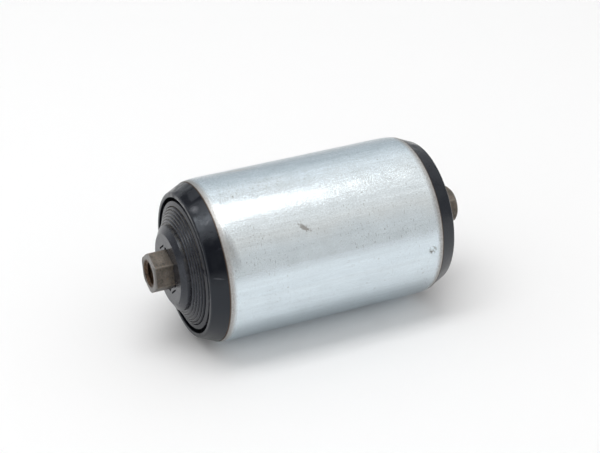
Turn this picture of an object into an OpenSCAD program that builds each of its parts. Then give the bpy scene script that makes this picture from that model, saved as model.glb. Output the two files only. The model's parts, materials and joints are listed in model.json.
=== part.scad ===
// Gravity conveyor roller with a steel tube, plastic bearing housings and a tapped hexagon shaft.
//
// The tube, its two housings and the outer rings of the bearings turn together about the shaft,
// which the conveyor frame holds still. The axis lies along X, the origin is the middle of the
// roller and all sizes are in millimetres. Both ends are alike: each end piece is drawn once as
// [radius, distance from the middle of the roller], then put on the right end or mirrored.

/* [Tube] */
// Outside diameter of the tube
tube_d = 50; // [48:0.5:60]
// Wall of the tube
tube_wall = 1.5; // [1:0.1:2]
// Length of the tube
tube_len = 70; // [60:1:400]
// Length of each end that is rolled in over its housing
roll_len = 4.5; // [2:0.5:7]
// How far a rolled end is drawn in, on the radius
roll_in = 0.55; // [0.2:0.05:0.8]

/* [Shaft] */
// Width across the flats of the hexagon bar
shaft_af = 11; // [10:0.1:11.4]
// How far each end of the shaft stands out past its hub
shaft_proud = 6; // [3:0.5:20]
// Angle that the top corner of the hexagon leans back from upright
shaft_turn = 11; // [0:1:59]
// Depth of the chamfer that takes the corners off each end face
shaft_chamfer = 0.45; // [0.2:0.05:0.8]

/* [Tapped holes] */
// Nominal diameter of the thread
thread_d = 8; // [5:1:8]
// Pitch of the thread
thread_pitch = 1.25; // [0.8:0.05:1.25]
// Depth of the tapped holes
thread_depth = 15; // [8:1:20]
// How much wider than the thread the countersink is, on the diameter
sink_over = 0.4; // [0.1:0.1:1.6]

/* [Ball bearing] */
// Bore of the bearing
bearing_bore = 15; // [14.6:0.1:16]
// Outside diameter of the bearing
bearing_od = 32; // [30:0.5:33]
// Width of the bearing
bearing_w = 9; // [8:0.5:11]
// Diameter of a ball
ball_d = 4.762; // [4:0.001:5]
// Number of balls
ball_count = 9; // [6:1:9]
// How far the shoulder of each ring stands from the pitch circle, on the radius
shoulder_gap = 1.5; // [1.2:0.1:1.8]
// Wall of the ball cage, on the radius
cage_wall = 1.6; // [1:0.1:1.8]
// Gap between the cage and each shield
cage_gap = 0.5; // [0.2:0.05:0.6]
// Thickness of a shield
shield_t = 0.4; // [0.2:0.05:0.5]
// How deep the inside face of a shield lies below the face of the bearing
shield_depth = 0.8; // [0.6:0.05:0.8]
// How far a shield reaches into the step of the outer ring, on the radius
shield_grip = 0.8; // [0.4:0.1:1.2]

/* [Bearing housing] */
// How far the housing stands out past the end of the tube
housing_out = 5; // [4.5:0.1:8]
// How far the housing reaches into the tube
housing_in = 13; // [12:0.5:20]
// How far the bearing lies inside the end of the tube
bearing_inset = 1; // [0:0.1:2]
// Flat width of the lip round the mouth
lip_land = 0.8; // [0.4:0.1:1]
// Radius of the outer edge of the lip
lip_round = 0.85; // [0.3:0.05:1.2]
// Wall of the spigot inside the tube and of the ring round the bearing
housing_wall = 1.5; // [1.2:0.1:1.8]
// Number of ribs between the spigot and the bearing ring
rib_count = 12; // [6:1:16]
// Thickness of a rib
rib_t = 1.4; // [1:0.1:2]

/* [Seal cover] */
// Width of the gap between the rim of the cover and the mouth of the housing
rim_gap = 1.15; // [0.8:0.05:1.3]
// Wall of the skirt that dips into the housing
skirt_t = 1.2; // [0.8:0.1:1.4]
// Width of the gap between the skirt and the ring round the bearing
skirt_gap = 0.95; // [0.5:0.05:1.1]
// Width of the smooth ring outside the ridges
rim_band = 1.6; // [1:0.1:2]
// How far the hub face stands out past the lip of the housing
hub_out = 5; // [4:0.1:8]
// How far the flank of the hub falls from its flat face to its edge
hub_h = 1.2; // [0.8:0.1:1.6]
// How much wider the edge of the hub is than its flat face, on the radius
hub_flare = 2; // [1:0.1:2.5]
// Height of the edge of the hub above the ridges
hub_step = 0.6; // [0.3:0.1:0.9]
// Width of the groove round the foot of the hub
hub_groove_w = 0.4; // [0.2:0.05:0.8]
// Depth of this groove below the ridges
hub_groove_depth = 0.3; // [0.1:0.05:0.4]
// How far the flat face of the hub reaches past the sleeve, on the radius
hub_land = 2.35; // [2:0.05:3]
// Wall of the sleeve between the bore of the bearing and its own outside
sleeve_wall = 1.2; // [1:0.1:1.5]
// Wall of the cover
cover_wall = 1.5; // [1:0.1:1.8]
// Distance from one ridge to the next, on the radius
ridge_pitch = 0.88; // [0.7:0.02:1.2]
// Depth of the grooves between the ridges
ridge_depth = 0.22; // [0.1:0.02:0.3]

/* [Bush, seal and retaining ring] */
// Thickness of the flange of the bush
bush_flange_t = 1; // [0.6:0.1:1.6]
// Thickness of the retaining ring
clip_t = 1; // [0.8:0.1:1.5]
// Width of the retaining ring, on the radius
clip_wall = 2.4; // [2:0.1:3]
// Depth of its groove below the flats of the shaft
clip_depth = 0.5; // [0.3:0.05:0.8]
// Width of the lip seal
seal_w = 2.2; // [1.8:0.1:2.4]

/* [Hidden] */
$fn = 96;

// Clearances
press_gap = 0.02;   // between round surfaces that are pressed together
hex_gap = 0.05;     // between the hexagon bar and each flat of a hexagon hole
ball_gap = 0.05;    // round a ball in its races and in its pocket
seal_gap = 0.15;    // between the lip seal and the sleeve that it wipes
shield_gap = 0.25;  // between a shield and the inner ring
cut = 0.5;          // how far a cutter runs past the face that it opens

// Places along the axis, as distances from the middle
tube_end = tube_len / 2;
lip_end = tube_end + housing_out;
hub_end = lip_end + hub_out;
shaft_end = hub_end + shaft_proud;
bearing_out = tube_end - bearing_inset;
bearing_in = bearing_out - bearing_w;
bearing_mid = (bearing_out + bearing_in) / 2;
spigot_in = tube_end - housing_in;
clip_out = bearing_in - bush_flange_t;

// Radii
tube_r = tube_d / 2;
bore_r = tube_r - tube_wall;
pitch_r = (bearing_bore + bearing_od) / 4;
ball_r = ball_d / 2;
seat_r = bearing_od / 2;
rim_r = seat_r + housing_wall + skirt_gap + skirt_t;
mouth_r = rim_r + rim_gap;
groove_r = shaft_af / 2 - clip_depth;
tap_r = (thread_d - 1.0825 * thread_pitch) / 2;
sleeve_r = bearing_bore / 2 + sleeve_wall;
hub_face_r = sleeve_r + hub_land;
across_corners = 1 / cos(30);
ring_chamfer = 0.3;

// Puts an end piece on its end of the roller
module right_end() { rotate([0, 90, 0]) children(); }
module left_end() { mirror([1, 0, 0]) rotate([0, 90, 0]) children(); }

// Points of an arc round c, from one angle to another
function arc(c, r, from, to, steps = 8) =
    [for (i = [0 : steps]) let (a = from + (to - from) * i / steps) c + r * [cos(a), sin(a)]];

// Points of a surface that runs at radius r and curves in at the end of the tube
roll_r = (roll_len * roll_len + roll_in * roll_in) / (2 * roll_in);
roll_angle = asin(roll_len / roll_r);
function rolled(r, from) =
    concat([[r, from]], arc([r - roll_r, tube_end - roll_len], roll_r, 0, roll_angle));

// A ring of chamfered section between two radii and two places
module ring(r_in, r_out, from, to, c = ring_chamfer)
    rotate_extrude()
        polygon([[r_in, from + c], [r_in + c, from], [r_out - c, from], [r_out, from + c],
            [r_out, to - c], [r_out - c, to], [r_in + c, to], [r_in, to - c]]);

// The hexagon bar, or a hexagon hole that has a gap at each flat
module hexagon(from, to, gap = 0)
    rotate(-shaft_turn)
        translate([0, 0, from])
            cylinder(d = (shaft_af + 2 * gap) * across_corners, h = to - from, $fn = 6);

// Steel tube, its ends rolled in over the housings
module tube() {
    edge = 0.2;
    outer = rolled(tube_r, 0);
    inner = rolled(bore_r, 0);
    last = len(outer) - 1;
    half = concat(
        [for (i = [0 : last - 1]) outer[i]],
        [outer[last] - [0, edge], outer[last] - [edge, 0]],
        [for (i = [last : -1 : 0]) inner[i]]);
    color([0.78, 0.82, 0.85])
        for (side = [0, 180])
            rotate([0, 90 + side, 0]) rotate_extrude() polygon(half);
}

// One tapped end of the shaft: drill point, tapped hole and countersink
module tapped_end() {
    sink_r = (thread_d + sink_over) / 2;
    drill_angle = 118;
    point = tap_r / tan(drill_angle / 2);
    rotate_extrude()
        polygon([[0, shaft_end - thread_depth - point], [tap_r, shaft_end - thread_depth],
            [tap_r, shaft_end - sink_r + tap_r], [sink_r, shaft_end],
            [sink_r, shaft_end + cut], [0, shaft_end + cut]]);
}

// What is turned away at one end of the shaft: the end chamfer and the retaining ring's groove
module turned_end() {
    corner_r = shaft_af / 2 * across_corners;
    end_r = corner_r - shaft_chamfer;
    rotate_extrude()
        polygon([[end_r, shaft_end], [corner_r + cut, shaft_end - shaft_chamfer - cut],
            [corner_r + cut, shaft_end + cut], [end_r - cut, shaft_end + cut],
            [end_r - cut, shaft_end]]);
    rotate_extrude()
        translate([groove_r, clip_out - clip_t - press_gap])
            square([corner_r, clip_t + press_gap]);
}

// Hexagon steel shaft, tapped at both ends
module shaft() {
    color([0.42, 0.39, 0.36])
        difference() {
            right_end() hexagon(-shaft_end, shaft_end);
            right_end() tapped_end();
            left_end() tapped_end();
            right_end() turned_end();
            left_end() turned_end();
        }
}

// Section of the housing: spigot, bearing ring, lip behind the bearing, floor and mouth
module housing_section() {
    ring_out = seat_r + housing_wall;
    ring_end = lip_end - 2;
    floor_out = tube_end + 1;
    floor_in = tube_end - 2;
    lip_behind = 1.5;
    lip_c = [mouth_r + lip_land, lip_end - lip_round];
    foot = [tube_r - roll_in - 0.1, tube_end];
    reach = foot - lip_c;
    tangent = atan2(reach[1], reach[0]) + acos(lip_round / norm(reach));
    edge = 0.25;
    draft = 0.2;
    lead = 0.6;
    spigot_r = bore_r - press_gap;
    // spigot and everything outside the tube
    polygon(concat(
        [[ring_out - cut, floor_in], [bore_r - housing_wall, floor_in],
            [bore_r - housing_wall, spigot_in], [spigot_r - lead, spigot_in]],
        rolled(spigot_r, spigot_in + lead),
        [foot],
        arc(lip_c, lip_round, tangent, 90),
        arc([mouth_r + edge, lip_end - edge], edge, 90, 180, 4),
        [[mouth_r - draft, floor_out], [ring_out - cut, floor_out]]));
    // ring round the bearing, with the lip behind it
    polygon([[seat_r - lip_behind, bearing_in - lip_behind], [ring_out, bearing_in - lip_behind],
        [ring_out, ring_end], [seat_r + press_gap, ring_end],
        [seat_r + press_gap, bearing_in], [seat_r - lip_behind, bearing_in]]);
}

// Moulded housing that carries the bearing in the end of the tube
module bearing_housing() {
    rib_from = seat_r + housing_wall / 2;
    rib_to = bore_r - housing_wall / 2;
    set_back = 2;
    color([0.12, 0.12, 0.14])
        union() {
            rotate_extrude() housing_section();
            for (i = [0 : rib_count - 1])
                rotate(i * 360 / rib_count)
                    translate([rib_from, -rib_t / 2, spigot_in + set_back])
                        cube([rib_to - rib_from, rib_t, housing_in - set_back]);
        }
}

// The track of the balls, with the running gap round them
module race() {
    rotate_extrude() translate([pitch_r, bearing_mid]) circle(r = ball_r + ball_gap);
}

// Outer ring of the bearing, stepped at both faces for its shields
module bearing_outer_ring() {
    shoulder_r = pitch_r + shoulder_gap;
    color([0.72, 0.73, 0.75])
        difference() {
            ring(shoulder_r, seat_r, bearing_in, bearing_out);
            race();
            for (from = [bearing_in - cut, bearing_out - shield_depth])
                translate([0, 0, from])
                    cylinder(r = shoulder_r + shield_grip, h = shield_depth + cut);
        }
}

// Inner ring of the bearing
module bearing_inner_ring() {
    color([0.72, 0.73, 0.75])
        difference() {
            ring(bearing_bore / 2, pitch_r - shoulder_gap, bearing_in, bearing_out);
            race();
        }
}

// One shield: a thin washer in the step of the outer ring, clear of the inner ring
module shield(from) {
    r_in = pitch_r - shoulder_gap + shield_gap;
    r_out = pitch_r + shoulder_gap + shield_grip - press_gap;
    color([0.66, 0.67, 0.69])
        rotate_extrude() translate([r_in, from]) square([r_out - r_in, shield_t]);
}

module bearing_outer_shield() { shield(bearing_out - shield_depth); }
module bearing_inner_shield() { shield(bearing_in + shield_depth - shield_t); }

// Spaces its children evenly round the pitch circle, one for each ball
module at_balls() {
    for (i = [0 : ball_count - 1])
        rotate((i + 0.5) * 360 / ball_count) translate([pitch_r, 0, bearing_mid]) children();
}

// The balls
module bearing_balls() {
    color([0.8, 0.8, 0.82]) at_balls() sphere(r = ball_r);
}

// Cage that keeps the balls apart, with a round pocket for each
module bearing_cage() {
    side = shield_depth + cage_gap;
    color([0.55, 0.5, 0.42])
        difference() {
            ring(pitch_r - cage_wall / 2, pitch_r + cage_wall / 2,
                bearing_in + side, bearing_out - side, 0.2);
            at_balls()
                rotate([0, 90, 0])
                    cylinder(r = ball_r + ball_gap, h = cage_wall + 2 * cut, center = true);
        }
}

// Flanged plastic bush that fits the round bore of the bearing to the hexagon shaft
module hex_bush() {
    bush_r = bearing_bore / 2 - press_gap;
    color([0.2, 0.2, 0.22])
        difference() {
            rotate_extrude()
                polygon([[0, clip_out], [sleeve_r, clip_out], [sleeve_r, bearing_in],
                    [bush_r, bearing_in], [bush_r, bearing_out - ring_chamfer],
                    [bush_r - ring_chamfer, bearing_out], [0, bearing_out]]);
            hexagon(clip_out - cut, bearing_out + cut, hex_gap);
        }
}

// Rubber seal in the housing, its lip on the sleeve of the cover
module lip_seal() {
    rim = 1.6;
    web_t = 0.7;
    web_in = bearing_out + 0.8;
    web_out = web_in + web_t;
    seal_out = bearing_out + seal_w;
    lip_r = sleeve_r + seal_gap;
    lip_lean = 0.7;
    lip_t = 0.3;
    wipe_w = 0.5;
    color([0.1, 0.1, 0.1])
        rotate_extrude()
            polygon([[seat_r - rim, bearing_out], [seat_r, bearing_out],
                [seat_r, seal_out], [seat_r - rim, seal_out], [seat_r - rim, web_out],
                [lip_r + lip_lean + lip_t, web_out], [lip_r, seal_out],
                [lip_r, seal_out - wipe_w], [lip_r + lip_lean, web_in],
                [seat_r - rim, web_in]]);
}

// Direction square to the way from one point to the next, to its right
function square_to(way) = [way[1], -way[0]] / norm(way);

// Outline of the ridged cone, from the rim inwards: as many whole ridges as fit, each rounded
// and set off by a narrow groove on both sides
function ridges(from, to, samples = 8) =
    let (way = to - from,
        step = way / abs(way[0]) * ridge_pitch / samples,
        last = floor(abs(way[0]) / ridge_pitch) * samples)
    [for (i = [0 : last])
        let (wave = (1 + cos(360 * i / samples)) / 2)
        from + step * i - square_to(way) * ridge_depth * wave * wave];

// Section of the cover: sleeve, hub, ridged cone, smooth rim and skirt
module cover_section() {
    rim_end = lip_end - 0.2;
    rim_edge = 0.3;
    rim_slope = 0.3;
    skirt_in = tube_end + 1.8;
    hub_edge = 0.3;
    hub_r = hub_face_r + hub_flare;
    flank_turn = atan2(hub_flare, hub_h);
    cone_foot = [rim_r - rim_band, rim_end + rim_slope * rim_band];
    hub_foot = [hub_r, hub_end - hub_h - hub_step];
    cone = cone_foot - hub_foot;
    cone_top = hub_foot + cone * hub_groove_w / cone[0];
    groove_floor = cone_top[1] - hub_groove_depth;
    inward = square_to(-cone) * cover_wall;
    polygon(concat(
        // inside, from the sleeve out to the skirt
        [[0, bearing_out], [sleeve_r, bearing_out], [sleeve_r, hub_end - cover_wall],
            [hub_face_r - cover_wall, hub_end - cover_wall],
            hub_foot - inward, cone_foot - inward,
            [rim_r - skirt_t, cone_foot[1] - cover_wall - skirt_t / 2],
            [rim_r - skirt_t, skirt_in], [rim_r, skirt_in]],
        // outside, from the rim in to the flat face of the hub
        arc([rim_r - rim_edge, rim_end - rim_edge], rim_edge, 0, 70, 4),
        ridges(cone_foot, cone_top),
        [[cone_top[0], groove_floor], [hub_r, groove_floor]],
        arc([hub_r - hub_edge, hub_end - hub_h - hub_edge], hub_edge, 0, flank_turn, 4),
        arc([hub_face_r - hub_edge, hub_end - hub_edge], hub_edge, flank_turn, 90, 3),
        [[0, hub_end]]));
}

// Moulded cover that fits the hexagon shaft and hides the bearing
module seal_cover() {
    relief_r = 0.9;
    relief_in = 0.225;
    relief_depth = 3;
    corner_r = shaft_af / 2 * across_corners;
    slot = [0.5, 4.4, 1];
    slot_out = 1.2;
    color([0.3, 0.3, 0.32])
        difference() {
            rotate_extrude() cover_section();
            hexagon(bearing_out - cut, hub_end + cut, hex_gap);
            // round reliefs in the corners of the hexagon hole
            for (i = [0 : 5])
                rotate(60 * i - shaft_turn)
                    translate([corner_r - relief_in, 0, hub_end - relief_depth])
                        cylinder(r = relief_r, h = relief_depth + cut, $fn = 24);
            // two short slots beside opposite flats
            for (i = [2, 5])
                rotate(60 * i + 30 - shaft_turn)
                    translate([shaft_af / 2 + slot_out, -slot[1] / 2, hub_end - slot[2]])
                        cube([slot[0], slot[1], slot[2] + cut]);
        }
}

// Retaining ring, sprung into its groove in the shaft, with an open gap
module retaining_ring() {
    gap_w = 5;
    lug_r = 1.5;
    lug_at = groove_r + clip_wall / 2 + 0.3;
    lug_angle = 40;
    hole_r = 0.6;
    hole_at = lug_at + 0.2;
    color([0.35, 0.35, 0.36])
        translate([0, 0, clip_out - clip_t])
            difference() {
                union() {
                    cylinder(r = groove_r + clip_wall, h = clip_t);
                    for (a = [-lug_angle, lug_angle])
                        rotate(a) translate([lug_at, 0, 0]) cylinder(r = lug_r, h = clip_t);
                }
                translate([0, 0, -cut]) cylinder(r = groove_r + press_gap, h = clip_t + 2 * cut);
                translate([0, -gap_w / 2, -cut])
                    cube([groove_r + clip_wall + cut, gap_w, clip_t + 2 * cut]);
                for (a = [-lug_angle, lug_angle])
                    rotate(a) translate([hole_at, 0, -cut])
                        cylinder(r = hole_r, h = clip_t + 2 * cut);
            }
}

tube();
shaft();
left_end() bearing_housing();  // left_bearing_housing
left_end() bearing_outer_ring();  // left_bearing_outer_ring
left_end() bearing_inner_ring();  // left_bearing_inner_ring
left_end() bearing_balls();  // left_bearing_balls
left_end() bearing_cage();  // left_bearing_cage
left_end() bearing_outer_shield();  // left_bearing_outer_shield
left_end() bearing_inner_shield();  // left_bearing_inner_shield
left_end() hex_bush();  // left_hex_bush
left_end() lip_seal();  // left_lip_seal
left_end() seal_cover();  // left_seal_cover
left_end() retaining_ring();  // left_retaining_ring
right_end() bearing_housing();  // right_bearing_housing
right_end() bearing_outer_ring();  // right_bearing_outer_ring
right_end() bearing_inner_ring();  // right_bearing_inner_ring
right_end() bearing_balls();  // right_bearing_balls
right_end() bearing_cage();  // right_bearing_cage
right_end() bearing_outer_shield();  // right_bearing_outer_shield
right_end() bearing_inner_shield();  // right_bearing_inner_shield
right_end() hex_bush();  // right_hex_bush
right_end() lip_seal();  // right_lip_seal
right_end() seal_cover();  // right_seal_cover
right_end() retaining_ring();  // right_retaining_ring
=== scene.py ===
# %% [markdown]
# # A gravity conveyor roller
#
# A short steel roller from a gravity conveyor: a zinc plated tube turns on two sealed ball
# bearings about a fixed hexagon shaft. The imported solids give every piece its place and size.
# This lesson dresses them: it sets up a small studio, gives each piece a material that is built
# from nodes, and remakes the pieces whose surface needs more than the solids hold.
#
# The cell below loads the solids. Each one is an object at the origin, with its place in its
# mesh, and it already moves with its body: the shaft stays still and the roller turns. Sizes
# are written in millimetres, and MM turns them into the metres that Blender works in.

import json
import math

import bmesh
import bpy
from mathutils import Matrix, Vector, noise


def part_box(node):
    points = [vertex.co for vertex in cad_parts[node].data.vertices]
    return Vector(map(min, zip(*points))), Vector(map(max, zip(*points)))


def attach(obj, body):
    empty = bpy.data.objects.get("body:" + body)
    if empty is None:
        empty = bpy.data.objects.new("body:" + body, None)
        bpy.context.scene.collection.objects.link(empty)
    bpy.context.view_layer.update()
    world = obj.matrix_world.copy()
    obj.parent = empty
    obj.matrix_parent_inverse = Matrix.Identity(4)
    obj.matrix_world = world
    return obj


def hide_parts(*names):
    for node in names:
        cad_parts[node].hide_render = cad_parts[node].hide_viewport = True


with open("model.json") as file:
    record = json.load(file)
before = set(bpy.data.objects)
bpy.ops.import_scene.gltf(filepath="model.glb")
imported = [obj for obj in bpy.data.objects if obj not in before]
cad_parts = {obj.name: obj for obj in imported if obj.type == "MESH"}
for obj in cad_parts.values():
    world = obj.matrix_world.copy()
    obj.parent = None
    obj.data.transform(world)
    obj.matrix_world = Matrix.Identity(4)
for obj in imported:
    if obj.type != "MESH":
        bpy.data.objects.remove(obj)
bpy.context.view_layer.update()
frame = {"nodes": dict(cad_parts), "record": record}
nodes = frame["nodes"]
MM = 0.001
tube_end, tube_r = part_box("tube")[1].x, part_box("tube")[1].z
print(f"{len(nodes)} solids, tube {tube_r * 2 / MM:.1f} x {tube_end * 2 / MM:.1f} mm")

# %% [markdown]
# ## The camera
#
# The roller lies across the view, its left end nearer than its right one, and the camera looks
# down on it. A short lens close by would swell the near end, so a long lens stands further off
# and keeps both ends almost the same size. A camera looks along its own -Z, so it is tilted up
# from straight down by 90 degrees less its elevation, and then turned by its azimuth.

# %% Camera
AZIMUTH, ELEVATION = -24.48, 30.22
LENS, SENSOR = 100.85, 36
CAMERA_PLACE = (-0.1855, -0.4035, 0.2625)

camera_data = bpy.data.cameras.new("camera")
camera_data.sensor_width = SENSOR
camera_data.lens = LENS
camera = bpy.data.objects.new("camera", camera_data)
bpy.context.scene.collection.objects.link(camera)
camera.location = CAMERA_PLACE
camera.rotation_euler = (math.radians(90 - ELEVATION), 0, math.radians(AZIMUTH))
bpy.context.scene.camera = camera
print(f"camera {camera.location.length / MM:.0f} mm from the middle of the roller")

# %% [markdown]
# ## Helpers for materials
#
# A material can be drawn by hand in the node editor. Written out, it can be read from its
# pattern down to its shader, and each size is in one place. A hex colour is written for a
# screen and a shader works with linear light, so one function turns the first into the second.
# Another adds any node, sets it, links it and gives back one of its outputs, or all of them.
# Patterns are sized by what they are on the real surface: a noise texture repeats about once
# for each unit of its coordinates, so a grain of so many millimetres has a scale of one over
# that size.

# %% Colour, node and scale helpers
def linear(hex_colour):
    """The linear colour of an sRGB hex colour."""
    shares = [int(hex_colour[i : i + 2], 16) / 255 for i in (1, 3, 5)]
    return (*[s / 12.92 if s <= 0.04045 else ((s + 0.055) / 1.055) ** 2.4 for s in shares], 1)


def per_mm(size):
    """The scale of a pattern whose features are so many millimetres across."""
    return 1 / (size * MM)


def new_material(name):
    """An empty node material."""
    material = bpy.data.materials.new(name)
    material.use_nodes = True
    material.node_tree.nodes.clear()
    return material


def add(material, kind, inputs=None, out=0, stops=None, **settings):
    """Adds a node. Inputs are values or other nodes' outputs, and stops are (place, colour)
    pairs of a ramp. It gives back the output that out names, or all of them for None.
    """
    made = material.node_tree.nodes.new("ShaderNode" + kind)
    for name, value in settings.items():
        setattr(made, name, value)
    for socket, value in (inputs or {}).items():
        if isinstance(value, bpy.types.NodeSocket):
            material.node_tree.links.new(value, made.inputs[socket])
        else:
            made.inputs[socket].default_value = value
    for i, (place, colour) in enumerate(stops or []):
        ramp = made.color_ramp.elements
        element = ramp[i] if i < len(ramp) else ramp.new(1)
        element.position = place
        element.color = colour if isinstance(colour, tuple) else (colour, colour, colour, 1)
    return made.outputs if out is None else made.outputs[out]


print(f"a mid grey of #808080 gives back {linear('#808080')[0]:.0%} of the light")

# %% [markdown]
# ## The floor
#
# The roller lies on a wide sheet of matt white card, which gives back most of the light evenly
# and keeps a soft shadow under the tube. A studio often has a backdrop that curves up behind.
# This camera looks down and sees nothing but floor, so a flat sheet is enough. It is part of
# the studio, and one function says so of each such sheet.

# %% Floor
FLOOR_HALF = 3.0


def flat_sheet(width, height):
    """A rectangle that faces up, centred on the origin, ready to be placed."""
    sheet = bmesh.new()
    bmesh.ops.create_grid(sheet, x_segments=1, y_segments=1, size=0.5)
    bmesh.ops.scale(sheet, vec=(width, height, 1), verts=sheet.verts)
    return sheet


def put_in_studio(name, sheet, material):
    """Links a sheet as part of the studio, and not of the roller."""
    mesh = bpy.data.meshes.new(name)
    sheet.to_mesh(mesh)
    sheet.free()
    mesh.materials.append(material)
    placed = bpy.data.objects.new(name, mesh)
    bpy.context.scene.collection.objects.link(placed)
    return placed


white_card = new_material("matt_white_card")
matt = add(white_card, "BsdfDiffuse", {"Color": linear("#f8f8f8")})
add(white_card, "OutputMaterial", {"Surface": matt}, out=None)
floor_sheet = flat_sheet(2 * FLOOR_HALF, 2 * FLOOR_HALF)
bmesh.ops.translate(floor_sheet, vec=(0, 0, -tube_r), verts=floor_sheet.verts)
put_in_studio("floor", floor_sheet, white_card)
print(f"floor {tube_r / MM:.0f} mm below the axis")

# %% [markdown]
# ## Cards for the metal to mirror
#
# A shiny cylinder shows its room more than itself, so the room has to be built too. Tall pale
# cards stand before and behind the roller and at both sides. A dark one stands where the camera
# and its operator would be, and another behind on the left. They give the metal its softer
# bands and the black plastic its depth. They could be plain cards with lamps on them, but each
# lamp would show in the tube as well. A card that glows by itself has just the tone it is
# given, shaded from its foot to its top edge, and it is seen in reflections only.

# %% Cards
def glowing_card(name, low, high, stops):
    """A card that glows as softly as a lit one, from its foot to its top edge."""
    card = new_material(name)
    height = add(card, "SeparateXYZ", {0: add(card, "TexCoord", out="Object")}, out="Z")
    level = add(card, "MapRange", {"Value": height, "From Min": low, "From Max": high})
    tones = [(place, linear(tone)) for place, tone in stops]
    tone = add(card, "ValToRGB", {0: level}, stops=tones)
    glow = add(card, "Emission", {"Color": tone})
    add(card, "OutputMaterial", {"Surface": glow}, out=None)
    return card


def stand_card(name, width, height, place, stops, turn=0):
    """Stands a card on end, turned about the upright, and shows it in reflections only."""
    sheet = flat_sheet(width, height)
    stand = Matrix.Rotation(math.radians(turn), 3, "Z") @ Matrix.Rotation(math.pi / 2, 3, "X")
    bmesh.ops.rotate(sheet, matrix=stand, verts=sheet.verts)
    middle = Vector(place) + Vector((0, 0, height / 2))
    bmesh.ops.translate(sheet, vec=middle, verts=sheet.verts)
    foot = place[2]
    card = put_in_studio(name, sheet, glowing_card(name, foot, foot + height, stops))
    card.visible_camera = False
    card.visible_diffuse = False
    card.visible_shadow = False
    print(f"{name} {width} x {height} m")


stand_card("front_card", 5, 2.6, (0, -1.4, -tube_r),
    [(0, "#d7d5d3"), (0.1, "#dcdad8"), (0.4, "#e6e4e2"), (0.65, "#f1efed"), (1, "#f6f6f6")])
stand_card("rear_card", 5, 1.6, (0, 1.6, -tube_r),
    [(0, "#d2d6d9"), (0.4, "#d3d7da"), (0.64, "#dadddf"), (1, "#f4f6f7")])
stand_card("right_card", 3, 1.4, (1.6, 0, -tube_r),
    [(0, "#b4b6ba"), (0.6, "#b4b6ba"), (1, "#f4f4f4")], turn=90)
stand_card("left_card", 3.4, 1.1, (-1.6, 1.1, -tube_r),
    [(0, "#a2a4a8"), (0.6, "#a2a4a8"), (1, "#f0f0f0")], turn=90)
stand_card("operator_card", 0.6, 1.5, (-0.66, -0.86, 0.12),
    [(0, "#48484a"), (0.08, "#38383a"), (0.9, "#38383a"), (1, "#58585a")], turn=-38)
stand_card("left_rear_card", 0.7, 1.2, (-0.35, 1.3, 0.45),
    [(0, "#b6babd"), (0.2, "#6a6c70"), (0.8, "#6a6c70"), (1, "#c0c0c0")], turn=15)

# %% [markdown]
# ## The softbox
#
# The bright band along the tube is the reflection of a softbox that hangs straight above. A
# small lamp would give a thin hard line, so the lamp is a wide rectangle. Its longer side runs
# along the roller, and its shorter side sets how wide the band is.

# %% Softbox
SOFTBOX_LONG, SOFTBOX_WIDE = 1.05, 0.36
SOFTBOX_WATTS = 4.1
SOFTBOX_PLACE = (-0.25, 0, 1.0)

softbox_data = bpy.data.lights.new("softbox", "AREA")
softbox_data.shape = "RECTANGLE"
softbox_data.size = SOFTBOX_LONG
softbox_data.size_y = SOFTBOX_WIDE
softbox_data.energy = SOFTBOX_WATTS
softbox = bpy.data.objects.new("softbox", softbox_data)
bpy.context.scene.collection.objects.link(softbox)
softbox.location = SOFTBOX_PLACE
print(f"softbox {SOFTBOX_LONG:.2f} x {SOFTBOX_WIDE:.2f} m")

# %% [markdown]
# ## The white room
#
# The world is white to the camera, to reflections and to whatever is seen through a piece. To
# matt surfaces it gives a little less, because the softbox adds its own share: together they
# light a white sheet to about white. A stronger softbox alone could do that too, but it would
# burn out the plating under it.

# %% World
WORLD_FILL = 0.76

world = bpy.data.worlds.new("white_room")
bpy.context.scene.world = world
world.use_nodes = True
world.node_tree.nodes.clear()
ray = add(world, "LightPath", out=None)
seen = add(world, "Math", {0: ray["Is Camera Ray"], 1: ray["Is Glossy Ray"]},
    operation="MAXIMUM")
seen = add(world, "Math", {0: seen, 1: ray["Is Transmission Ray"]}, operation="MAXIMUM")
level = add(world, "MapRange", {"Value": seen, "To Min": WORLD_FILL, "To Max": 1.0})
glow = add(world, "Background", {"Color": linear("#ffffff"), "Strength": level})
add(world, "OutputWorld", {"Surface": glow}, out=None)
bpy.context.scene.view_settings.view_transform = "Standard"
print(f"world 1.00 where it is seen, {WORLD_FILL} where it only lights")

# %% [markdown]
# ## Patterns for marks and specks
#
# Plating, steel and plastic all carry marks: scuffs, smears and specks of dirt. An image of
# real marks could be wrapped round the roller, but it would show its seam and blur from near
# by. Here each mark is worked out from the place on the surface instead, so it stays sharp and
# turns with its piece. A stroke is a stretched ball whose edge is torn by noise. Specks are
# the middles of some of the cells of a Voronoi pattern. A mark is then laid over a colour.

# %% Helpers for marks
TORN_EDGE = 0.55


def on_roller(along, angle, radius=tube_r / MM):
    """The point so many mm along the roller, degrees up from its front and mm out."""
    turn = math.radians(angle)
    return Vector((along, -radius * math.cos(turn), radius * math.sin(turn))) * MM


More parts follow.
